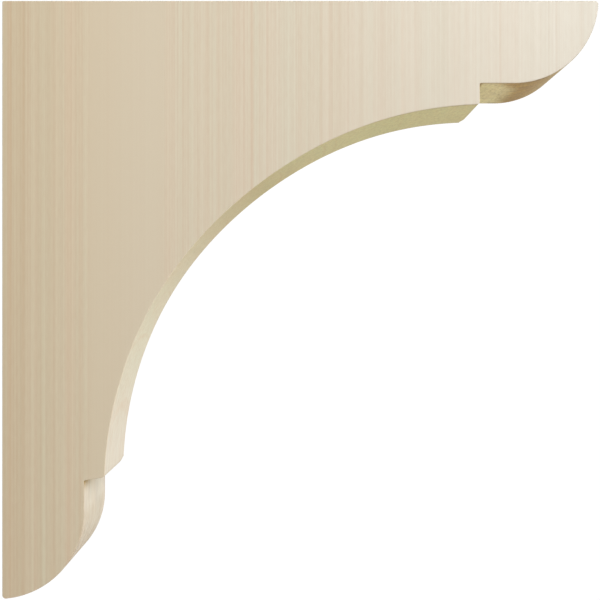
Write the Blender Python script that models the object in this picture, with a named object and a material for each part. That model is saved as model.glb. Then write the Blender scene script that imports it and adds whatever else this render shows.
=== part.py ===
"""A wooden corbel bracket, cut to its outline from one block of softwood and sanded.

Metres, +Z up. The bracket reaches out from the wall along +X, and its thickness runs along Y.
The origin is the middle of the flat face that lies against the wall.
"""
import math

import bmesh
import bpy
from mathutils import Vector

# The block: how far it reaches from the wall, how tall it is against the wall, and its thickness
PROJECTION = 0.6086
HEIGHT = 0.6105
THICKNESS = 0.0889

# The upper end, under the shelf: its depth, the round of its nose and its length from tip to step
ARM_DEPTH = 0.0841
UPPER_NOSE_RADIUS = 0.0856
UPPER_END_LENGTH = 0.1211
UPPER_STEP = 0.0215

# The lower end, on the wall: the same four sizes, and how far its step's face falls towards the wall
LEG_DEPTH = 0.0836
LOWER_NOSE_RADIUS = 0.0880
LOWER_END_LENGTH = 0.1207
LOWER_STEP = 0.0207
LOWER_STEP_FALL = 0.0035

# The hollow sweep between the two steps: a quarter round whose centre lies a little past both
# steps. It is left slightly fuller than a true arc around one angle above the horizontal
SWEEP_PAST_UPPER_STEP = 0.0104
SWEEP_PAST_LOWER_STEP = 0.0130
SWEEP_FULLNESS = 0.0021
SWEEP_FULL_ANGLE = math.radians(53)
SWEEP_FULL_SPREAD = math.radians(28)

# Edges: outer corners of the outline, inner corners of the steps, and the eased long edges
CORNER_RADIUS = 0.0034
NOTCH_RADIUS = 0.0014
EASED_EDGE = 0.0011

# How finely the round stretches are divided
NOSE_SEGMENTS = 20
SWEEP_SEGMENTS = 52
CORNER_SEGMENTS = 4
EDGE_SEGMENTS = 2
MERGE_DISTANCE = 0.00002

# Pale pine, sanded and left bare
WOOD_COLOUR = (0.68, 0.58, 0.44, 1.0)
WOOD_ROUGHNESS = 0.55

TOP = HEIGHT / 2
BOTTOM = -HEIGHT / 2

# Each nose's round stops just short of its step, so it is never longer than its end
UPPER_ROUND = min(UPPER_NOSE_RADIUS, UPPER_END_LENGTH - 2 * NOTCH_RADIUS)
LOWER_ROUND = min(LOWER_NOSE_RADIUS, LOWER_END_LENGTH - 2 * NOTCH_RADIUS)


def arc(centre, radius, start, end, segments):
    """Points along an arc, its angles measured from +X and turning towards +Z."""
    angles = [start + (end - start) * step / segments for step in range(segments + 1)]
    return [centre + radius * Vector((math.cos(angle), math.sin(angle))) for angle in angles]


def lower_nose():
    """From the wall, along the bottom if the leg is deeper than its round, to the flat front."""
    behind_wall = max(LOWER_ROUND - LEG_DEPTH, 0.0)
    at_wall = -math.acos(behind_wall / LOWER_ROUND)
    centre = Vector((LEG_DEPTH - LOWER_ROUND, BOTTOM - LOWER_ROUND * math.sin(at_wall)))
    points = arc(centre, LOWER_ROUND, at_wall, 0.0, NOSE_SEGMENTS)
    if LEG_DEPTH > LOWER_ROUND:
        points.insert(0, Vector((0.0, BOTTOM)))
    return points


def upper_nose():
    """From the flat underside, round the nose, and straight up if the arm is deeper than its round."""
    above_top = max(UPPER_ROUND - ARM_DEPTH, 0.0)
    at_top = -math.asin(above_top / UPPER_ROUND)
    centre = Vector((PROJECTION - UPPER_ROUND, TOP - ARM_DEPTH + UPPER_ROUND))
    points = arc(centre, UPPER_ROUND, -math.pi / 2, at_top, NOSE_SEGMENTS)
    if ARM_DEPTH > UPPER_ROUND:
        points.append(Vector((PROJECTION, TOP)))
    return points


def sweep():
    """From the lower step's outer corner, up the hollow sweep to the upper step's outer corner."""
    lower_step_z = BOTTOM + LOWER_END_LENGTH + LOWER_STEP_FALL
    upper_step_x = PROJECTION - UPPER_END_LENGTH
    centre_x = upper_step_x + SWEEP_PAST_UPPER_STEP
    centre_z = lower_step_z - SWEEP_PAST_LOWER_STEP
    reach = centre_x - LEG_DEPTH - LOWER_STEP
    rise = TOP - ARM_DEPTH - UPPER_STEP - centre_z
    first = math.asin(SWEEP_PAST_LOWER_STEP / rise)
    last = math.acos(SWEEP_PAST_UPPER_STEP / reach)
    points = []
    for step in range(SWEEP_SEGMENTS + 1):
        angle = first + (last - first) * step / SWEEP_SEGMENTS
        turn = min(abs(angle - SWEEP_FULL_ANGLE) / SWEEP_FULL_SPREAD, 1.0)
        full = SWEEP_FULLNESS * math.cos(turn * math.pi / 2) ** 2
        x = centre_x - (reach - full) * math.cos(angle)
        z = centre_z + (rise - full) * math.sin(angle)
        points.append(Vector((x, z)))
    return points


def outline():
    """The bracket's outline in X and Z, with the places of its outer corners and its notches."""
    lower_round = lower_nose()
    hollow = sweep()
    upper_round = upper_nose()
    lower_notch = Vector((LEG_DEPTH, BOTTOM + LOWER_END_LENGTH))
    upper_notch = Vector((PROJECTION - UPPER_END_LENGTH, TOP - ARM_DEPTH))
    wall_top = Vector((0.0, TOP))
    points = lower_round + [lower_notch] + hollow + [upper_notch] + upper_round + [wall_top]
    corners = [lower_round[0], hollow[0], hollow[-1], upper_round[-1]]
    return points, corners, [lower_notch, upper_notch]


def round_edges(mesh, places, radius):
    """Rounds the edges that cross the thickness at these places, as far as their faces allow."""
    crossing = []
    for edge in mesh.edges:
        first, second = (vertex.co for vertex in edge.verts)
        if abs(first.y - second.y) < THICKNESS / 2:
            continue
        if any((Vector((first.x, first.z)) - place).length < 1e-6 for place in places):
            crossing.append(edge)
    bmesh.ops.bevel(mesh, geom=crossing, offset=radius, segments=CORNER_SEGMENTS, profile=0.5,
                    affect="EDGES", clamp_overlap=True)
    bmesh.ops.remove_doubles(mesh, verts=mesh.verts, dist=MERGE_DISTANCE)


def wood():
    """Pale sanded wood."""
    material = bpy.data.materials.new("wood")
    material.use_nodes = True
    shader = material.node_tree.nodes["Principled BSDF"]
    shader.inputs["Base Color"].default_value = WOOD_COLOUR
    shader.inputs["Roughness"].default_value = WOOD_ROUGHNESS
    shader.inputs["Metallic"].default_value = 0.0
    return material


def bracket():
    """The whole bracket: the outline drawn at the back, carried forwards, and its edges eased."""
    points, corners, notches = outline()
    solid = bmesh.new()
    back = solid.faces.new([solid.verts.new((point.x, THICKNESS / 2, point.y)) for point in points])
    extruded = bmesh.ops.extrude_face_region(solid, geom=[back])["geom"]
    front = [item for item in extruded if isinstance(item, bmesh.types.BMVert)]
    bmesh.ops.translate(solid, verts=front, vec=(0.0, -THICKNESS, 0.0))
    round_edges(solid, corners, CORNER_RADIUS)
    round_edges(solid, notches, NOTCH_RADIUS)

    sides = [face for face in solid.faces if abs(face.normal.y) > 0.9]
    long_edges = {edge for side in sides for edge in side.edges}
    bmesh.ops.bevel(solid, geom=list(long_edges), offset=EASED_EDGE, segments=EDGE_SEGMENTS,
                    profile=0.5, affect="EDGES", clamp_overlap=True)

    mesh = bpy.data.meshes.new("corbel_bracket")
    solid.to_mesh(mesh)
    solid.free()
    mesh.materials.append(wood())
    mesh.shade_smooth()
    mesh.set_sharp_from_angle(angle=math.radians(35))
    piece = bpy.data.objects.new("corbel_bracket", mesh)
    bpy.context.scene.collection.objects.link(piece)
    return piece


for old in list(bpy.data.objects):
    bpy.data.objects.remove(old)
bracket()
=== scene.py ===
import math
from typing import NamedTuple

import bpy
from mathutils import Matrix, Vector


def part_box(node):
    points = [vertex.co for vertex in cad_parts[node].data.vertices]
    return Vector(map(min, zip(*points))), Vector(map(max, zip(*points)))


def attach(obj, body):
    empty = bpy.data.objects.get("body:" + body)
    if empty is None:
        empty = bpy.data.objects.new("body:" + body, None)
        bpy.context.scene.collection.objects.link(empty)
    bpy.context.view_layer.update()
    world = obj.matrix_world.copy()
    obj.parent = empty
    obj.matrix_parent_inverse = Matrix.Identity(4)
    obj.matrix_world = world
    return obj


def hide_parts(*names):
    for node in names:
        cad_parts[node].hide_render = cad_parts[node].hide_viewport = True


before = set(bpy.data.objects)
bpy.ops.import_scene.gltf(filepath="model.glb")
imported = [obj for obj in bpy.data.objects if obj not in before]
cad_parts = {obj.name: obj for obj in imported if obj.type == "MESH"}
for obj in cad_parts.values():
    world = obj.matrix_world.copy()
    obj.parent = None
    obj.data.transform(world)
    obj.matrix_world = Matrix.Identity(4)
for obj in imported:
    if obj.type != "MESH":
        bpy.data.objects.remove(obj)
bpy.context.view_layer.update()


# The viewpoint: about level with the middle of the bracket and square to its side, close enough for
# the far arris of the sweep to show below the near one. Metres, +Z up, the wall at x = 0.
VIEW_DISTANCE = 0.8255
VIEW_LENS = 48.57
SENSOR_WIDTH = 36.0
VIEW_POINT_X = 0.3050
VIEW_POINT_Z = 0.0077
FRAME_CENTRE_X = 0.3038
FRAME_CENTRE_Z = 0.0001
low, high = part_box("corbel_bracket")
frame_width = VIEW_DISTANCE * SENSOR_WIDTH / VIEW_LENS
lens = bpy.data.cameras.new("view")
lens.lens = VIEW_LENS
lens.sensor_width = SENSOR_WIDTH
lens.shift_x = (FRAME_CENTRE_X - VIEW_POINT_X) / frame_width
lens.shift_y = (FRAME_CENTRE_Z - VIEW_POINT_Z) / frame_width
camera = bpy.data.objects.new("view", lens)
camera.location = (VIEW_POINT_X, low.y - VIEW_DISTANCE, VIEW_POINT_Z)
camera.rotation_euler = (math.radians(90), 0.0, 0.0)
bpy.context.scene.collection.objects.link(camera)
bpy.context.scene.camera = camera


# The bracket: one block of pale, straight-grained softwood with its grain upright. It is band-sawn
# to a stepped outline with a hollow sweep between two quarter-round noses, then sanded, and its
# arrises are eased by hand. Its flat back lies against the wall and its flat top carries the load.
PROJECTION = high.x
THICKNESS = high.y - low.y
TOP = high.z
BOTTOM = low.z
ARM_DEPTH = 0.0841
UPPER_NOSE_RADIUS = 0.0856
UPPER_END_LENGTH = 0.1211
UPPER_STEP = 0.0215
LEG_DEPTH = 0.0836
LOWER_NOSE_RADIUS = 0.0880
LOWER_END_LENGTH = 0.1207
LOWER_STEP = 0.0207
LOWER_STEP_FALL = 0.0035
SWEEP_PAST_UPPER_STEP = 0.0104
SWEEP_PAST_LOWER_STEP = 0.0130
SWEEP_FULLNESS = 0.0021
SWEEP_FULL_ANGLE = math.radians(53)
SWEEP_FULL_SPREAD = math.radians(28)
CORNER_ROUNDING = 0.0034
NOTCH_ROUNDING = 0.0014
BACK_CORNER_ROUNDING = 0.0016
POINT_SPACING = 0.0042
SAME_POINT = 0.0002

# A nose is scorched brown by the sander where it turns from its underside towards its front, and
# has a tinge of it further up. The upper nose is scorched a little more than the lower one
STRAIGHT_DOWN = math.radians(-90)
SCORCH_FAINT = math.radians(-5)
SCORCH_FULL = math.radians(-84)
SCORCH_FADE = math.radians(-81)
TINGE_FAINT = math.radians(8)
TINGE_FULL = math.radians(-6)
SCORCH_TINGE = 0.20
UPPER_SCORCH = 1.0
LOWER_SCORCH = 0.90

# Painted shade darkens the last of the face before a notch
NOTCH_SHADE_SPREAD = 0.0110


class Outline:
    """The bracket's outline in X and Z, and what each of its points says of the wood there."""

    def __init__(self, start, **marks):
        self.points = []
        self.marks = {"rounding": [], "corner": [], "notch": [], "scorch": [], "coarse": []}
        self.add(start, **marks)

    def add(self, point, **marks):
        """Adds a point. A mark that isn't given is 0 there."""
        self.points.append(point)
        for name, values in self.marks.items():
            values.append(marks.get(name, 0.0))

    def straight(self, end, coarse=0.0, **marks):
        """Carries the outline on in a straight line, to an end with these marks."""
        start = self.points[-1]
        count = max(1, math.floor((end - start).length / POINT_SPACING))
        for step in range(1, count):
            point = start.lerp(end, step / count)
            # Painted shade, fading away from the notch
            notch_shade = max(1 - (end - point).length / NOTCH_SHADE_SPREAD, 0.0) * marks.get("notch", 0.0)
            self.add(point, coarse=coarse, notch=notch_shade)
        self.add(end, coarse=coarse, **marks)

    def curved(self, place, first, last, radius, scorch=None, **marks):
        """Carries the outline on along place(angle). Noses are coarse and scorched this much."""
        count = math.floor(abs(last - first) * radius / POINT_SPACING)
        for step in range(count + 1):
            angle = first + (last - first) * step / count
            point = place(angle)
            if (point - self.points[-1]).length > SAME_POINT:
                nose = {"scorch": scorch * scorching(angle), "coarse": 1.0} if scorch else {}
                self.add(point, **nose, **(marks if step == count else {}))

    def close(self):
        """Takes off the last point, which has come back to the first."""
        for values in (self.points, *self.marks.values()):
            values.pop()


def smooth_share(value, at_none, at_full):
    """0 at one value, 1 at the other, and smooth between them."""
    share = min(max((value - at_none) / (at_full - at_none), 0.0), 1.0)
    return share * share * (3 - 2 * share)


def scorching(angle):
    """How brown a nose is where it faces this angle from +X."""
    tinge = SCORCH_TINGE * smooth_share(angle, TINGE_FAINT, TINGE_FULL)
    brown = tinge + (1 - tinge) * smooth_share(angle, SCORCH_FAINT, SCORCH_FULL)
    return brown * smooth_share(angle, STRAIGHT_DOWN, SCORCH_FADE)


def circle(centre, radius):
    """The place of an angle on a circle in X and Z."""
    return lambda angle: centre + radius * Vector((math.cos(angle), math.sin(angle)))


def bracket_outline():
    """The whole outline, from the foot of the wall face forwards and up, and back along the top."""
    behind_wall = LOWER_NOSE_RADIUS - LEG_DEPTH
    at_wall = -math.acos(behind_wall / LOWER_NOSE_RADIUS)
    lower_centre = Vector((-behind_wall, BOTTOM - LOWER_NOSE_RADIUS * math.sin(at_wall)))
    above_top = UPPER_NOSE_RADIUS - ARM_DEPTH
    at_top = -math.asin(above_top / UPPER_NOSE_RADIUS)
    upper_centre = Vector((PROJECTION - UPPER_NOSE_RADIUS, TOP + above_top))

    lower_step_z = BOTTOM + LOWER_END_LENGTH + LOWER_STEP_FALL
    upper_step_x = PROJECTION - UPPER_END_LENGTH
    sweep_centre = Vector((upper_step_x + SWEEP_PAST_UPPER_STEP, lower_step_z - SWEEP_PAST_LOWER_STEP))
    reach = sweep_centre.x - LEG_DEPTH - LOWER_STEP
    rise = TOP - ARM_DEPTH - UPPER_STEP - sweep_centre.y
    sweep_first = math.asin(SWEEP_PAST_LOWER_STEP / rise)
    sweep_last = math.acos(SWEEP_PAST_UPPER_STEP / reach)

    def on_sweep(angle):
        turn = min(abs(angle - SWEEP_FULL_ANGLE) / SWEEP_FULL_SPREAD, 1.0)
        full = SWEEP_FULLNESS * math.cos(turn * math.pi / 2) ** 2
        return sweep_centre + Vector((-(reach - full) * math.cos(angle), (rise - full) * math.sin(angle)))

    outer = {"rounding": CORNER_ROUNDING, "corner": 1.0}
    notch = {"rounding": NOTCH_ROUNDING, "notch": 1.0}
    outline = Outline(circle(lower_centre, LOWER_NOSE_RADIUS)(at_wall), rounding=CORNER_ROUNDING)
    outline.curved(circle(lower_centre, LOWER_NOSE_RADIUS), at_wall, 0.0, LOWER_NOSE_RADIUS,
                   scorch=LOWER_SCORCH)
    outline.straight(Vector((LEG_DEPTH, BOTTOM + LOWER_END_LENGTH)), coarse=1.0, **notch)
    outline.straight(on_sweep(sweep_first), **outer)
    outline.curved(on_sweep, sweep_first, sweep_last, reach, **outer)
    outline.straight(Vector((upper_step_x, TOP - ARM_DEPTH)), **notch)
    outline.straight(upper_centre + Vector((0.0, -UPPER_NOSE_RADIUS)), coarse=1.0)
    outline.curved(circle(upper_centre, UPPER_NOSE_RADIUS), STRAIGHT_DOWN, at_top, UPPER_NOSE_RADIUS,
                   scorch=UPPER_SCORCH, rounding=CORNER_ROUNDING)
    outline.straight(Vector((0.0, TOP)), rounding=BACK_CORNER_ROUNDING)
    outline.straight(outline.points[0])
    outline.close()
    return outline


def add(tree, kind, inputs, **settings):
    """Adds a node with these settings. An input is a plain value or another node's output."""
    node = tree.nodes.new(kind)
    for name, value in settings.items():
        setattr(node, name, value)
    for name, value in inputs.items():
        if isinstance(value, bpy.types.NodeSocket):
            tree.links.new(value, node.inputs[name])
        else:
            node.inputs[name].default_value = value
    return node


def math_of(tree, operation, *values):
    """The outcome of a sum on plain values or other nodes' outputs."""
    return add(tree, "ShaderNodeMath", dict(enumerate(values)), operation=operation).outputs[0]


def total_of(tree, *amounts):
    """The sum of several amounts."""
    total = amounts[0]
    for amount in amounts[1:]:
        total = math_of(tree, "ADD", total, amount)
    return total


def product_of(tree, *amounts):
    """Several amounts multiplied together."""
    product = amounts[0]
    for amount in amounts[1:]:
        product = math_of(tree, "MULTIPLY", product, amount)
    return product


def smooth_between(tree, value, start, end, at_start=0.0, at_end=1.0):
    """A value turned smoothly into one amount at a start and another at an end."""
    return add(tree, "ShaderNodeMapRange", {"Value": value, "From Min": start, "From Max": end,
                                            "To Min": at_start, "To Max": at_end},
               interpolation_type="SMOOTHSTEP").outputs[0]


def mark_on(tree, name, data_type="FLOAT"):
    """A mark that the shape carries at a point."""
    return add(tree, "GeometryNodeInputNamedAttribute", {"Name": name},
               data_type=data_type).outputs["Attribute"]


def marked(tree, shape, name, value, data_type="FLOAT"):
    """The shape, with a mark on its points."""
    return add(tree, "GeometryNodeStoreNamedAttribute",
               {"Geometry": shape, "Name": name, "Value": value},
               data_type=data_type, domain="POINT").outputs[0]


def moved_along(tree, shape, direction, distance):
    """The shape, with its points moved along a direction by a distance."""
    offset = add(tree, "ShaderNodeVectorMath", {0: direction, "Scale": distance}, operation="SCALE")
    return add(tree, "GeometryNodeSetPosition", {"Geometry": shape,
                                                 "Offset": offset.outputs[0]}).outputs[0]


def point_places(tree):
    """The three coordinates of a point of the shape, by the names of their axes."""
    place = add(tree, "GeometryNodeInputPosition", {})
    return add(tree, "ShaderNodeSeparateXYZ", {0: place.outputs[0]}).outputs


# How the bracket is shaped around its outline. Support points beside each arris keep the faces flat
ARRIS_RADIUS = 0.0005
ARRIS_STEPS = 6
ARRIS_SUPPORT = 0.0012
ARRIS_WEAR = 0.00025
ARRIS_WEAR_COUNT = 45.0
ARRIS_WEAR_SEED = 4.0
CORNER_STEPS = 5
RIM_ROWS = 17
RIM_RIPPLE = 0.00010
RIM_RIPPLE_COUNT = 28.0
RIM_RIPPLE_SEED = 11.0
SANDING_OCTAVES = 2.0
CORNER_WEAR = 0.0011
CORNER_WEAR_REACH = 0.0140
SHAPE_TOLERANCE = 0.00001


def rounded_outline(tree, given):
    """The outline as one closed curve with rounded corners, marked with the way outwards."""
    curve = add(tree, "GeometryNodeMeshToCurve", {"Mesh": given["Outline"]})
    rounded = add(tree, "GeometryNodeFilletCurve",
                  {"Curve": curve.outputs[0], "Radius": mark_on(tree, "rounding"),
                   "Limit Radius": True, "Count": given["Corner steps"]}, mode="POLY")
    upright = add(tree, "GeometryNodeSetCurveNormal", {"Curve": rounded.outputs[0]}, mode="Z_UP")
    normal = add(tree, "GeometryNodeInputNormal", {})
    return marked(tree, upright.outputs[0], "outwards", normal.outputs[0], data_type="FLOAT_VECTOR")


def rim_section(tree, given, half):
    """The section of the rim: in from the near side, across the thickness, and in at the far side."""
    support = math_of(tree, "SUBTRACT", half, given["Arris support"])
    section = add(tree, "GeometryNodeIndexSwitch", {}, data_type="VECTOR")
    corners = (("in", -1), ("on", -1), ("across", -1), ("across", 1), ("on", 1), ("in", 1))
    for number, (part, side) in enumerate(corners):
        if number >= len(section.index_switch_items):
            section.index_switch_items.new()
        height = math_of(tree, "MULTIPLY", support if part == "across" else half, float(side))
        depth = math_of(tree, "MULTIPLY", given["Arris support"], -1.0 if part == "in" else 0.0)
        corner = add(tree, "ShaderNodeCombineXYZ", {"X": depth, "Y": height})
        tree.links.new(corner.outputs[0], section.inputs[str(number)])
    index = add(tree, "GeometryNodeInputIndex", {}).outputs[0]
    tree.links.new(index, section.inputs["Index"])
    points = add(tree, "GeometryNodePoints", {"Count": len(corners), "Position": section.outputs[0]})
    line = add(tree, "GeometryNodePointsToCurves", {"Points": points.outputs[0]})
    is_across = add(tree, "FunctionNodeCompare", {"A": index, "B": corners.index(("across", -1))},
                    data_type="INT", operation="EQUAL")
    cuts = math_of(tree, "MULTIPLY", is_across.outputs[0], given["Rows across"])
    return add(tree, "GeometryNodeSubdivideCurve", {"Curve": line.outputs[0], "Cuts": cuts}).outputs[0]


def eased_section(tree, given, half):
    """The rim's section with its arrises eased, marked with how near an arris is and where the rim is."""
    place = point_places(tree)
    height = math_of(tree, "ABSOLUTE", place["Y"])
    on_rim = math_of(tree, "GREATER_THAN", place["X"], -SHAPE_TOLERANCE)
    at_side = math_of(tree, "GREATER_THAN", height, math_of(tree, "SUBTRACT", half, SHAPE_TOLERANCE))
    radius = product_of(tree, on_rim, at_side, given["Arris radius"])
    eased = add(tree, "GeometryNodeFilletCurve",
                {"Curve": rim_section(tree, given, half), "Radius": radius,
                 "Limit Radius": True, "Count": given["Arris steps"]}, mode="POLY")

    from_side = math_of(tree, "SUBTRACT", half, height)
    gap = math_of(tree, "SQRT", total_of(tree, math_of(tree, "POWER", from_side, 2.0),
                                         math_of(tree, "POWER", place["X"], 2.0)))
    nearest = math_of(tree, "MULTIPLY", given["Arris radius"], math.sqrt(2) - 1)
    arris = add(tree, "ShaderNodeMapRange", {"Value": gap, "From Min": given["Arris radius"],
                                             "From Max": nearest, "To Min": 0.0, "To Max": 1.0})
    rim = add(tree, "ShaderNodeMapRange", {"Value": from_side, "From Min": 0.0,
                                           "From Max": given["Arris radius"],
                                           "To Min": 0.0, "To Max": 1.0})
    near_arris = marked(tree, eased.outputs[0], "arris", arris.outputs[0])
    return marked(tree, near_arris, "rim", rim.outputs[0])


def sanded_by_hand(tree, given, band):
    """The rim with its arrises worn unevenly and a very slight ripple."""
    def noise(count, seed):
        return add(tree, "ShaderNodeTexNoise", {"W": seed, "Scale": count, "Detail": SANDING_OCTAVES},
                   noise_dimensions="4D").outputs["Fac"]

    wear = product_of(tree, mark_on(tree, "arris"), given["Arris wear"],
                      noise(given["Wear count"], given["Wear seed"]))
    ripple = product_of(tree, mark_on(tree, "rim"), given["Ripple"],
                        noise(given["Ripple count"], given["Ripple seed"]))
    inwards = math_of(tree, "MULTIPLY", total_of(tree, wear, ripple), -1.0)
    normal = add(tree, "GeometryNodeInputNormal", {})
    return moved_along(tree, band, normal.outputs[0], inwards)


def knocked_corners(tree, given, half, band):
    """The rim with the steps' outer corners knocked round at the far side."""
    far = smooth_between(tree, point_places(tree)["Z"],
                         math_of(tree, "SUBTRACT", given["Corner reach"], half),
                         math_of(tree, "MULTIPLY", half, -1.0))
    inwards = product_of(tree, mark_on(tree, "corner"), far,
                         math_of(tree, "MULTIPLY", given["Corner wear"], -1.0))
    return moved_along(tree, band, mark_on(tree, "outwards", "FLOAT_VECTOR"), inwards)


def filled_side(tree, half, band, side):
    """The flat face that fills the rim's open loop on one side."""
    faces_beside = add(tree, "GeometryNodeInputMeshEdgeNeighbors", {})
    is_open = add(tree, "FunctionNodeCompare", {"A": faces_beside.outputs[0], "B": 1},
                  data_type="INT", operation="EQUAL")
    level = math_of(tree, "MULTIPLY", point_places(tree)["Z"], side)
    chosen = product_of(tree, is_open.outputs[0], math_of(tree, "GREATER_THAN", level, 0.0))
    loop = add(tree, "GeometryNodeMeshToCurve", {"Mesh": band, "Selection": chosen})
    filled = add(tree, "GeometryNodeFillCurve", {"Curve": loop.outputs[0]}, mode="NGONS")
    if side < 0:
        filled = add(tree, "GeometryNodeFlipFaces", {"Mesh": filled.outputs[0]})
    move = add(tree, "ShaderNodeCombineXYZ", {"Z": math_of(tree, "MULTIPLY", half, side)})
    return add(tree, "GeometryNodeTransform", {"Geometry": filled.outputs[0],
                                               "Translation": move.outputs[0]}).outputs[0]


def bracket_tree():
    """Carries the eased section of the rim round the outline, fills both sides and marks the mesh."""
    tree = bpy.data.node_groups.new("Bracket round its outline", "GeometryNodeTree")
    tree.interface.new_socket("Outline", in_out="INPUT", socket_type="NodeSocketGeometry")
    for name in ("Thickness", "Arris radius", "Arris support", "Arris wear", "Wear count", "Wear seed",
                 "Ripple", "Ripple count", "Ripple seed", "Corner wear", "Corner reach"):
        tree.interface.new_socket(name, in_out="INPUT", socket_type="NodeSocketFloat")
    for name in ("Arris steps", "Corner steps", "Rows across"):
        tree.interface.new_socket(name, in_out="INPUT", socket_type="NodeSocketInt")
    tree.interface.new_socket("Wood", in_out="INPUT", socket_type="NodeSocketMaterial")
    tree.interface.new_socket("Bracket", in_out="OUTPUT", socket_type="NodeSocketGeometry")
    given = tree.nodes.new("NodeGroupInput").outputs
    half = math_of(tree, "MULTIPLY", given["Thickness"], 0.5)

    band = add(tree, "GeometryNodeCurveToMesh", {"Curve": rounded_outline(tree, given),
                                                 "Profile Curve": eased_section(tree, given, half)})
    worn = knocked_corners(tree, given, half, sanded_by_hand(tree, given, band.outputs[0]))
    joined = tree.nodes.new("GeometryNodeJoinGeometry")
    for part in (worn, filled_side(tree, half, worn, 1.0), filled_side(tree, half, worn, -1.0)):
        tree.links.new(part, joined.inputs[0])
    closed = add(tree, "GeometryNodeMergeByDistance", {"Geometry": joined.outputs[0],
                                                       "Distance": SHAPE_TOLERANCE})
    smooth = add(tree, "GeometryNodeSetShadeSmooth", {"Geometry": closed.outputs[0]})

    # A mark for the wood: how squarely its surface cuts across the upright grain, which is also how
    # squarely it faces up or down. The rim's colours read it for end grain and for painted shade
    normal = add(tree, "GeometryNodeInputNormal", {})
    facing = add(tree, "ShaderNodeSeparateXYZ", {0: normal.outputs[0]}).outputs["Y"]
    cut = marked(tree, smooth.outputs[0], "cut", math_of(tree, "ABSOLUTE", facing))

    # The outline is drawn flat, so the finished bracket is stood up
    upright = add(tree, "GeometryNodeTransform", {"Geometry": cut,
                                                  "Rotation": (math.radians(90), 0.0, 0.0)})
    real = add(tree, "GeometryNodeRealizeInstances", {"Geometry": upright.outputs[0]})
    finished = add(tree, "GeometryNodeSetMaterial", {"Geometry": real.outputs[0],
                                                     "Material": given["Wood"]})
    result = tree.nodes.new("NodeGroupOutput")
    tree.links.new(finished.outputs[0], result.inputs["Bracket"])
    return tree


# The wood's colours, in linear light: on the side faces at shares of the way out from the wall, and
# on the sanded rim by how squarely it cuts the grain, from long grain at 0 to end grain at 1. The rim's
# colours are partly painted light: its pale cream facing out is partly painted sheen, and its khaki
# facing down is partly painted shade
# The side faces grow darker and greyer towards the nose: painted shade
SIDE_COLOURS = (
    (0.00, (0.590, 0.473, 0.311, 1.0)),
    (0.15, (0.625, 0.520, 0.362, 1.0)),
    (0.23, (0.627, 0.528, 0.379, 1.0)),
    (0.50, (0.610, 0.519, 0.385, 1.0)),
    (1.00, (0.546, 0.491, 0.391, 1.0)),
)
# The rim's colours: end-grain and long-grain colour, with painted sheen in the pale cream and painted
# shade in the khaki
RIM_COLOURS_AND_PAINTED_LIGHT = (
    (0.10, (0.788, 0.695, 0.545, 1.0)),
    (0.40, (0.762, 0.680, 0.470, 1.0)),
    (0.60, (0.708, 0.595, 0.365, 1.0)),
    (0.80, (0.593, 0.472, 0.207, 1.0)),
    (0.91, (0.676, 0.575, 0.270, 1.0)),
    (0.97, (0.650, 0.555, 0.246, 1.0)),
    (1.00, (0.688, 0.577, 0.268, 1.0)),
)
SCORCH_COLOUR = (0.372, 0.212, 0.026, 1.0)

# The top, which carries the load, is planed: its end grain is warmer than the sawn undersides, whose
# khaki is partly painted shade, and shows its rings more, and its pores, fibres and burnish less
TOP_COLOUR = (0.650, 0.517, 0.340, 1.0)
TOP_FADE = 0.0020
TOP_RING_CONTRAST = 2.2
TOP_SPECKLE = 0.35
TOP_FIBRES = 0.12
TOP_BURNISH = 0.30

# The face against the wall has the side faces' colour
WALL_FADE = 0.0020

# The lower nose has next to none of the khaki that the cut ends of the grain show elsewhere. That khaki
# is partly painted shade, so the lower nose carries painted light: it is painted lighter than the other
# undersides
LOWER_NOSE_KHAKI_AND_SHADE = 0.2
LOWER_NOSE_KHAKI_AND_SHADE_FADE = 0.0150

# What a darkening takes from red, green and blue: broad streaks, fine ones, the pinkish and greenish
# blush between them, the burnish along arrises, the painted shade in the notches, and what is open or
# rough.
# The finely sanded end grain of the hollow between the noses is a little deeper in colour than the
# coarse end grain: painted shade
BROAD_TINT = (0.18, 0.76, 1.12)
FINE_TINT = (0.42, 0.85, 1.15)
BLUSH_TINT = (1.0, -0.40, -0.30)
BURNISH_TINT = (0.60, 0.82, 1.0)
NOTCH_SHADE_TINT = (0.56, 0.75, 1.10)
PORE_TINT = (0.85, 0.95, 0.95)
HOLLOW_SHADE_TINT = (0.085, 0.065, 0.105)


class Pattern(NamedTuple):
    """Noise in the wood: its counts to the metre out, through and up, its octaves and its strength."""
    out: float
    through: float
    up: float
    octaves: float
    strength: float


# Streaks up the grain
BROAD_STREAKS = (
    Pattern(out=17.0, through=3.0, up=0.4, octaves=1.0, strength=0.050),
    Pattern(out=60.0, through=12.0, up=0.5, octaves=1.0, strength=0.032),
    Pattern(out=140.0, through=60.0, up=0.7, octaves=1.0, strength=0.055),
)
FINE_STREAKS = (
    Pattern(out=330.0, through=250.0, up=0.9, octaves=1.0, strength=0.085),
    Pattern(out=640.0, through=500.0, up=1.3, octaves=1.0, strength=0.135),
)
FIBRES = Pattern(out=520.0, through=480.0, up=90.0, octaves=1.0, strength=0.060)
BLUSH = Pattern(out=70.0, through=10.0, up=0.5, octaves=2.0, strength=0.040)

# The streaks are stronger at the wall side than at the nose, and weaken between these shares of
# the way out
STREAKS_AT_WALL = 1.05
STREAKS_AT_NOSE = 0.50
STREAKS_WEAKEN_FROM = 0.40
STREAKS_WEAKEN_TO = 0.90

# Growth rings bow across the thickness, so that the end grain shows them as flat arcs
RING_BOW = 2.0

# One wide, even ring has hardly any streaks
EVEN_RING_MIDDLE = 0.1265
EVEN_RING_HALF = 0.0375
EVEN_RING_EDGE = 0.0050
EVEN_RING_STREAKS = 0.15

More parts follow.
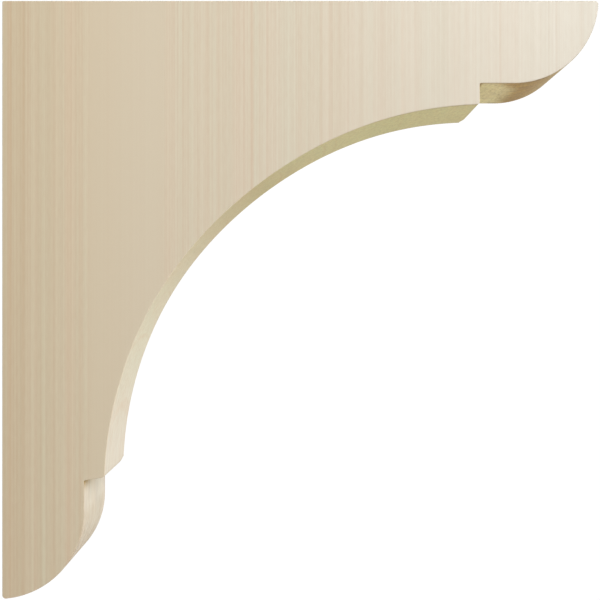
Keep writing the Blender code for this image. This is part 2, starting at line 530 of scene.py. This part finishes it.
# Narrow growth lines stand out where a pattern peaks
GROWTH_LINES = Pattern(out=170.0, through=6.0, up=0.3, octaves=0.0, strength=1.0)
GROWTH_LINE_STARTS_AT = 0.22
GROWTH_LINE_FULL_AT = 0.50
GROWTH_LINE_DARKNESS = 0.075

# End grain shows where the surface cuts the grain squarely enough. It has open pores and a cloudier
# mottling, both stronger where the sanding was left coarse
END_GRAIN_NONE_AT = 0.60
END_GRAIN_FULL_AT = 0.95
PORES = Pattern(out=620.0, through=620.0, up=300.0, octaves=0.0, strength=1.0)
PORES_NONE_AT = 0.15
PORES_FULL_AT = 0.50
PORE_DARKNESS = 0.22
MOTTLING = Pattern(out=340.0, through=150.0, up=120.0, octaves=1.0, strength=0.28)
FINELY_SANDED = 0.60

# Sanding marks run round the rim, and the scorching and the coarse sanding are uneven
SANDING_MARKS = Pattern(out=14.0, through=430.0, up=14.0, octaves=1.0, strength=0.110)
SANDING_PATCHES = Pattern(out=35.0, through=60.0, up=35.0, octaves=1.0, strength=0.150)
SCORCH_PATCHES = Pattern(out=90.0, through=330.0, up=90.0, octaves=1.0, strength=1.6)
SCORCH_STREAKS = Pattern(out=30.0, through=170.0, up=30.0, octaves=1.0, strength=0.44)

# The scorching reaches back over the upper nose's flat underside, furthest along the front arris
EARLY_SCORCH_START = 0.5130
EARLY_SCORCH_END = 0.5380
EARLY_SCORCH_LEAD = 0.0140
EARLY_SCORCH_WIDTH = 0.0300
EARLY_SCORCH_NONE_AT = 0.90
EARLY_SCORCH_FULL_AT = 0.98

# Arrises are burnished by handling where the surface cuts the grain squarely, and less on the long
# grain of the noses. The burnish starts just round the arris, and the steps' outer corners have a
# little of it right across
BURNISH_WIDTH = 0.0040
BURNISH_FULL_ROUND_ARRIS = 0.15
ARRIS_DARKNESS = 0.50
BURNISH_NONE_AT = 0.88
BURNISH_FULL_AT = 0.97
HANDLED_LONG_GRAIN = 0.45
CORNER_DARKNESS = 0.08

# Painted shade darkens the notches, most of it towards the front
NOTCH_DARKNESS = 0.95
NOTCH_DARKNESS_BEHIND = 0.19
NOTCH_REACH = 0.055
NOTCH_UNEVENNESS = Pattern(out=60.0, through=170.0, up=40.0, octaves=1.0, strength=0.8)

BARE_ROUGHNESS = 0.50
END_GRAIN_ROUGHNESS = 0.62
SCORCH_ROUGHNESS = 0.60
SPECULAR_LEVEL = 1.0
RELIEF_DEPTH = 0.00012
RELIEF_STRENGTH = 0.25


def pattern_group():
    """Noise drawn out by its counts each way, from about minus its strength to plus its strength."""
    tree = bpy.data.node_groups.new("Pattern in the wood", "ShaderNodeTree")
    tree.interface.new_socket("Place", in_out="INPUT", socket_type="NodeSocketVector")
    for name in ("Out", "Through", "Up", "Octaves", "Strength"):
        tree.interface.new_socket(name, in_out="INPUT", socket_type="NodeSocketFloat")
    tree.interface.new_socket("Darkness", in_out="OUTPUT", socket_type="NodeSocketFloat")
    given = tree.nodes.new("NodeGroupInput").outputs
    counts = add(tree, "ShaderNodeCombineXYZ", {"X": given["Out"], "Y": given["Through"],
                                                "Z": given["Up"]})
    stretched = add(tree, "ShaderNodeVectorMath", {0: given["Place"], 1: counts.outputs[0]},
                    operation="MULTIPLY")
    noise = add(tree, "ShaderNodeTexNoise", {"Vector": stretched.outputs[0], "Scale": 1.0,
                                             "Detail": given["Octaves"]})
    signed = add(tree, "ShaderNodeMapRange", {"Value": noise.outputs["Fac"], "To Min": -1.0})
    result = tree.nodes.new("NodeGroupOutput")
    tree.links.new(math_of(tree, "MULTIPLY", signed.outputs[0], given["Strength"]),
                   result.inputs["Darkness"])
    return tree


def coloured_by(tree, value, stops):
    """A colour read off a row of stops."""
    ramp = add(tree, "ShaderNodeValToRGB", {"Fac": value})
    while len(ramp.color_ramp.elements) < len(stops):
        ramp.color_ramp.elements.new(1.0)
    for element, (place, colour) in zip(ramp.color_ramp.elements, stops):
        element.position = place
        element.color = colour
    return ramp.outputs["Color"]


def mixed(tree, share, first, second):
    """A colour between two, by a share from 0 to 1."""
    return add(tree, "ShaderNodeMix", {0: share, 6: first, 7: second}, data_type="RGBA").outputs[2]


def tinted(tree, colour, amount, tint):
    """A colour made darker by an amount, most in the channels where the tint is strongest."""
    taken = add(tree, "ShaderNodeVectorMath", {0: tint, "Scale": amount}, operation="SCALE")
    kept = add(tree, "ShaderNodeVectorMath", {0: (1.0, 1.0, 1.0), 1: taken.outputs[0]},
               operation="SUBTRACT")
    return add(tree, "ShaderNodeVectorMath", {0: colour, 1: kept.outputs[0]},
               operation="MULTIPLY").outputs[0]


class Grain:
    """What the wood's material knows of a point: its place in the block, and the marks of the mesh."""

    def __init__(self, tree):
        self.tree = tree
        self.place = add(tree, "ShaderNodeTexCoord", {}).outputs["Object"]
        self.out, self.through, self.up = add(tree, "ShaderNodeSeparateXYZ", {0: self.place}).outputs
        self.way_out = math_of(tree, "DIVIDE", self.out, PROJECTION)
        self.from_middle = math_of(tree, "ABSOLUTE", self.through)
        self.at_top = smooth_between(tree, self.up, TOP - TOP_FADE, TOP)
        self.rim = self.mark("rim")
        self.cut = self.mark("cut")
        self.coarse = self.mark("coarse")

        # Distance along the rings, measured on the side faces and bowed between them
        beyond = math_of(tree, "SUBTRACT", math_of(tree, "POWER", self.from_middle, 2.0),
                         (THICKNESS / 2) ** 2)
        self.ring = math_of(tree, "ADD", self.out, math_of(tree, "MULTIPLY", beyond, RING_BOW))
        self.ring_place = add(tree, "ShaderNodeCombineXYZ", {"X": self.ring, "Y": self.through,
                                                             "Z": self.up}).outputs[0]
        self.pattern_group = pattern_group()

    def mark(self, name):
        """A mark that the mesh carries."""
        return add(self.tree, "ShaderNodeAttribute", {}, attribute_name=name).outputs["Fac"]

    def changed_on_top(self, amount):
        """1 everywhere but on the planed top, where it is this amount."""
        return smooth_between(self.tree, self.at_top, 0.0, 1.0, 1.0, amount)

    def pattern_at(self, place, pattern):
        """What a pattern adds or takes at a place."""
        inputs = {name.capitalize(): value for name, value in pattern._asdict().items()}
        return add(self.tree, "ShaderNodeGroup", {"Place": place, **inputs},
                   node_tree=self.pattern_group).outputs[0]

    def pattern(self, pattern):
        """A pattern that lies in the block as it stands."""
        return self.pattern_at(self.place, pattern)

    def streaks(self, *patterns):
        """The sum of patterns that bow with the growth rings."""
        return total_of(self.tree, *[self.pattern_at(self.ring_place, pattern) for pattern in patterns])


def liveliness(grain):
    """How strongly the grain shows: least in the even ring, more by the wall, and most on the top."""
    tree = grain.tree
    from_even = math_of(tree, "ABSOLUTE", math_of(tree, "SUBTRACT", grain.ring, EVEN_RING_MIDDLE))
    outside_even = smooth_between(tree, from_even, EVEN_RING_HALF - EVEN_RING_EDGE,
                                  EVEN_RING_HALF + EVEN_RING_EDGE, EVEN_RING_STREAKS, 1.0)
    on_sides = product_of(tree, outside_even,
                          smooth_between(tree, grain.way_out, STREAKS_WEAKEN_FROM, STREAKS_WEAKEN_TO,
                                         STREAKS_AT_WALL, STREAKS_AT_NOSE))
    on_rim = product_of(tree, grain.rim, grain.changed_on_top(TOP_RING_CONTRAST))
    return math_of(tree, "MAXIMUM", on_sides, on_rim)


def bare_colour(grain):
    """The colour of the side faces, the sanded rim and the planed top."""
    tree = grain.tree
    lower_notch = BOTTOM + LOWER_END_LENGTH
    # The lower nose keeps little of the khaki and its painted shade, which paints it lighter
    khaki = product_of(tree, grain.cut, smooth_between(tree, grain.up, lower_notch - LOWER_NOSE_KHAKI_AND_SHADE_FADE,
                                                       lower_notch, LOWER_NOSE_KHAKI_AND_SHADE, 1.0))
    # The rim's colour, with its painted shade and painted sheen, read off by its khaki share
    rim_colour = mixed(tree, grain.at_top, coloured_by(tree, khaki, RIM_COLOURS_AND_PAINTED_LIGHT), TOP_COLOUR)
    sanded_rim = product_of(tree, grain.rim, smooth_between(tree, grain.out, 0.0, WALL_FADE))
    return mixed(tree, sanded_rim, coloured_by(tree, grain.way_out, SIDE_COLOURS), rim_colour)


def scorched(grain):
    """How scorched the noses are, with an uneven edge."""
    tree = grain.tree
    near_front = smooth_between(tree, grain.through, EARLY_SCORCH_WIDTH - THICKNESS / 2, -THICKNESS / 2)
    led = math_of(tree, "ADD", grain.out, product_of(tree, near_front, EARLY_SCORCH_LEAD))
    early = product_of(tree, smooth_between(tree, led, EARLY_SCORCH_START, EARLY_SCORCH_END),
                       smooth_between(tree, grain.cut, EARLY_SCORCH_NONE_AT, EARLY_SCORCH_FULL_AT),
                       grain.coarse)
    scorch = math_of(tree, "MAXIMUM", grain.mark("scorch"), early)
    patches = product_of(tree, scorch, math_of(tree, "SUBTRACT", 1.0, scorch),
                         grain.pattern(SCORCH_PATCHES))
    return product_of(tree, total_of(tree, scorch, patches), grain.rim)


def open_pores(grain, end_grain, coarseness):
    """The pores of the end grain, strongest where it is coarse."""
    open_here = smooth_between(grain.tree, grain.pattern(PORES), PORES_NONE_AT, PORES_FULL_AT)
    return product_of(grain.tree, open_here, end_grain, coarseness)


def burnished(grain):
    """How burnished the arrises and the steps' outer corners are."""
    tree = grain.tree
    from_side = math_of(tree, "SUBTRACT", THICKNESS / 2, grain.from_middle)
    squarely = smooth_between(tree, grain.cut, BURNISH_NONE_AT, BURNISH_FULL_AT)
    handled = math_of(tree, "MAXIMUM", squarely, product_of(tree, grain.coarse, HANDLED_LONG_GRAIN))
    arris = product_of(tree, smooth_between(tree, from_side, BURNISH_WIDTH, 0.0), handled,
                       smooth_between(tree, grain.rim, 0.0, BURNISH_FULL_ROUND_ARRIS),
                       grain.changed_on_top(TOP_BURNISH))
    return total_of(tree, product_of(tree, arris, ARRIS_DARKNESS),
                    product_of(tree, grain.mark("corner"), grain.rim, CORNER_DARKNESS))


def dusty(grain):
    """How much painted shade darkens the notches."""
    tree = grain.tree
    amount = smooth_between(tree, grain.through, -THICKNESS / 2, NOTCH_REACH - THICKNESS / 2,
                            NOTCH_DARKNESS, NOTCH_DARKNESS_BEHIND)
    uneven = math_of(tree, "ADD", 1.0, grain.pattern(NOTCH_UNEVENNESS))
    return product_of(tree, grain.mark("notch"), grain.rim, amount, uneven)


def wood():
    """Pale sanded softwood, its grain upright, with khaki end grain that is partly painted shade, and
    scorched noses.
    """
    material = bpy.data.materials.new("wood")
    material.use_nodes = True
    tree = material.node_tree
    shader = tree.nodes["Principled BSDF"]
    grain = Grain(tree)

    # The streaks of the grain, broad and fine
    lively = liveliness(grain)
    growth_lines = smooth_between(tree, grain.streaks(GROWTH_LINES), GROWTH_LINE_STARTS_AT,
                                  GROWTH_LINE_FULL_AT, 0.0, GROWTH_LINE_DARKNESS)
    broad = product_of(tree, total_of(tree, grain.streaks(*BROAD_STREAKS), growth_lines), lively)
    fibres_showing = smooth_between(tree, product_of(tree, grain.at_top, grain.rim), 0.0, 1.0,
                                    1.0, TOP_FIBRES)
    fine = product_of(tree, grain.streaks(*FINE_STREAKS, FIBRES), lively, fibres_showing)
    blush = product_of(tree, grain.streaks(BLUSH), lively)

    # What sawing, sanding and use have done, with painted shade in the hollow between the noses and in the
    # notches
    end_grain = product_of(tree, smooth_between(tree, grain.cut, END_GRAIN_NONE_AT, END_GRAIN_FULL_AT),
                           grain.rim)
    # The finely sanded end grain of the hollow between the noses, painted a little darker as painted shade
    hollow_shade = product_of(tree, end_grain, math_of(tree, "SUBTRACT", 1.0, grain.coarse))
    coarseness = product_of(tree, math_of(tree, "MAXIMUM", grain.coarse, FINELY_SANDED),
                            grain.changed_on_top(TOP_SPECKLE))
    scorch = scorched(grain)
    pores = open_pores(grain, end_grain, coarseness)
    grainy = total_of(tree, product_of(tree, pores, PORE_DARKNESS),
                      product_of(tree, grain.pattern(MOTTLING), end_grain, coarseness),
                      product_of(tree, grain.pattern(SANDING_MARKS), grain.rim, coarseness),
                      product_of(tree, grain.pattern(SANDING_PATCHES), grain.rim, grain.coarse),
                      product_of(tree, grain.pattern(SCORCH_STREAKS), scorch))

    colour = mixed(tree, scorch, bare_colour(grain), SCORCH_COLOUR)
    # Painted shade in the hollow between the noses
    colour = tinted(tree, colour, hollow_shade, HOLLOW_SHADE_TINT)
    colour = tinted(tree, colour, broad, BROAD_TINT)
    colour = tinted(tree, colour, fine, FINE_TINT)
    colour = tinted(tree, colour, grainy, PORE_TINT)
    colour = tinted(tree, colour, blush, BLUSH_TINT)
    colour = tinted(tree, colour, burnished(grain), BURNISH_TINT)
    # The darkening in the notches is painted shade
    colour = tinted(tree, colour, dusty(grain), NOTCH_SHADE_TINT)
    tree.links.new(colour, shader.inputs["Base Color"])

    bare = add(tree, "ShaderNodeMix", {0: end_grain, 2: BARE_ROUGHNESS, 3: END_GRAIN_ROUGHNESS})
    burnt = add(tree, "ShaderNodeMix", {0: scorch, 2: bare.outputs[0], 3: SCORCH_ROUGHNESS})
    roughness = math_of(tree, "ADD", burnt.outputs[0], fine)
    tree.links.new(roughness, shader.inputs["Roughness"])
    shader.inputs["Specular IOR Level"].default_value = SPECULAR_LEVEL

    # Fibres, pores and sanding marks stand a little off the surface
    height = math_of(tree, "SUBTRACT", 0.0, total_of(tree, fine, grainy, pores))
    relief = add(tree, "ShaderNodeBump", {"Strength": RELIEF_STRENGTH, "Distance": RELIEF_DEPTH,
                                          "Height": height})
    tree.links.new(relief.outputs[0], shader.inputs["Normal"])
    return material


def made_bracket():
    """The bracket's mesh, made by the tree from the drawn outline."""
    outline = bracket_outline()
    finish = wood()
    count = len(outline.points)
    drawing = bpy.data.meshes.new("outline")
    drawing.from_pydata([(point.x, point.y, 0.0) for point in outline.points],
                        [(number, (number + 1) % count) for number in range(count)], [])
    drawing.materials.append(finish)
    for name, values in outline.marks.items():
        drawing.attributes.new(name, "FLOAT", "POINT").data.foreach_set("value", values)
    piece = bpy.data.objects.new("wooden_bracket", drawing)
    bpy.context.scene.collection.objects.link(piece)
    modifier = piece.modifiers.new("shape", "NODES")
    modifier.node_group = bracket_tree()
    values = {"Thickness": THICKNESS, "Arris radius": ARRIS_RADIUS, "Arris support": ARRIS_SUPPORT,
              "Arris wear": ARRIS_WEAR, "Wear count": ARRIS_WEAR_COUNT, "Wear seed": ARRIS_WEAR_SEED,
              "Ripple": RIM_RIPPLE, "Ripple count": RIM_RIPPLE_COUNT, "Ripple seed": RIM_RIPPLE_SEED,
              "Corner wear": CORNER_WEAR, "Corner reach": CORNER_WEAR_REACH,
              "Arris steps": ARRIS_STEPS, "Corner steps": CORNER_STEPS, "Rows across": RIM_ROWS,
              "Wood": finish}
    for socket in modifier.node_group.interface.items_tree:
        if socket.in_out == "INPUT" and socket.name in values:
            modifier[socket.identifier] = values[socket.name]
    evaluated = piece.evaluated_get(bpy.context.evaluated_depsgraph_get())
    mesh = bpy.data.meshes.new_from_object(evaluated)
    mesh.materials.clear()
    mesh.materials.append(finish)
    piece.modifiers.remove(modifier)
    for name in ("rounding", "arris", "outwards"):
        mesh.attributes.remove(mesh.attributes[name])
    piece.data = mesh
    return piece


bracket = made_bracket()
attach(bracket, "root")
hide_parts("corbel_bracket")


# The studio: a pale round floor well below the bracket, a white surround, and four soft lights. The
# strongest stands ahead and to the right, and leaves a satin sheen towards the upper nose.
FLOOR_LEVEL = -1.45
FLOOR_RADIUS = 1.7
FLOOR_SIDES = 96
FLOOR_COLOUR = (0.92, 0.92, 0.92, 1.0)
FLOOR_ROUGHNESS = 0.9
bpy.ops.mesh.primitive_circle_add(vertices=FLOOR_SIDES, radius=FLOOR_RADIUS, fill_type="NGON",
                                  location=(PROJECTION / 2, 0.0, FLOOR_LEVEL))
floor = bpy.context.object
floor.name = "floor"
floor_paint = bpy.data.materials.new("floor_paint")
floor_paint.use_nodes = True
floor_shader = floor_paint.node_tree.nodes["Principled BSDF"]
floor_shader.inputs["Base Color"].default_value = FLOOR_COLOUR
floor_shader.inputs["Roughness"].default_value = FLOOR_ROUGHNESS
floor.data.materials.append(floor_paint)

SURROUND_COLOUR = (1.0, 1.0, 1.0, 1.0)
SURROUND_AHEAD_ABOVE = 0.30
SURROUND_AHEAD_BELOW = 0.61
SURROUND_BEHIND = 0.60
SURROUND_SEEN = 1.02
SURROUND_BLEND = 0.5
surround = bpy.data.worlds.new("surround")
surround.use_nodes = True
surround_tree = surround.node_tree
background = surround_tree.nodes["Background"]
background.inputs["Color"].default_value = SURROUND_COLOUR
direction = add(surround_tree, "ShaderNodeTexCoord", {}).outputs["Generated"]
directions = add(surround_tree, "ShaderNodeSeparateXYZ", {0: direction}).outputs
above = smooth_between(surround_tree, directions["Z"], -SURROUND_BLEND, SURROUND_BLEND)
behind = smooth_between(surround_tree, directions["Y"], -SURROUND_BLEND, SURROUND_BLEND)
ahead = add(surround_tree, "ShaderNodeMix", {0: above, 2: SURROUND_AHEAD_BELOW,
                                             3: SURROUND_AHEAD_ABOVE})
lit = add(surround_tree, "ShaderNodeMix", {0: behind, 2: ahead.outputs[0], 3: SURROUND_BEHIND})
seen = add(surround_tree, "ShaderNodeLightPath", {}).outputs["Is Camera Ray"]
strength = add(surround_tree, "ShaderNodeMix", {0: seen, 2: lit.outputs[0], 3: SURROUND_SEEN})
surround_tree.links.new(strength.outputs[0], background.inputs["Strength"])
bpy.context.scene.world = surround


def soft_light(name, place, aim, size, power):
    """A square soft light, aimed at a point."""
    lamp = bpy.data.lights.new(name, "AREA")
    lamp.shape = "SQUARE"
    lamp.size = size
    lamp.energy = power
    box = bpy.data.objects.new(name, lamp)
    box.location = place
    box.rotation_euler = (Vector(aim) - Vector(place)).to_track_quat("-Z", "Y").to_euler()
    bpy.context.scene.collection.objects.link(box)


soft_light("main_light", place=(1.6, -2.0, 1.4), aim=(0.35, 0.0, 0.0), size=1.6, power=60.5)
soft_light("side_light", place=(2.3, 0.9, -0.2), aim=(0.3, 0.0, 0.0), size=1.4, power=9.0)
soft_light("fill_light", place=(-0.9, -1.2, 1.3), aim=(0.2, 0.0, 0.1), size=1.2, power=2.4)
soft_light("back_light", place=(-0.9, 2.0, 1.2), aim=(0.3, 0.0, 0.0), size=1.6, power=30.0)
bpy.context.scene.view_settings.view_transform = "Standard"
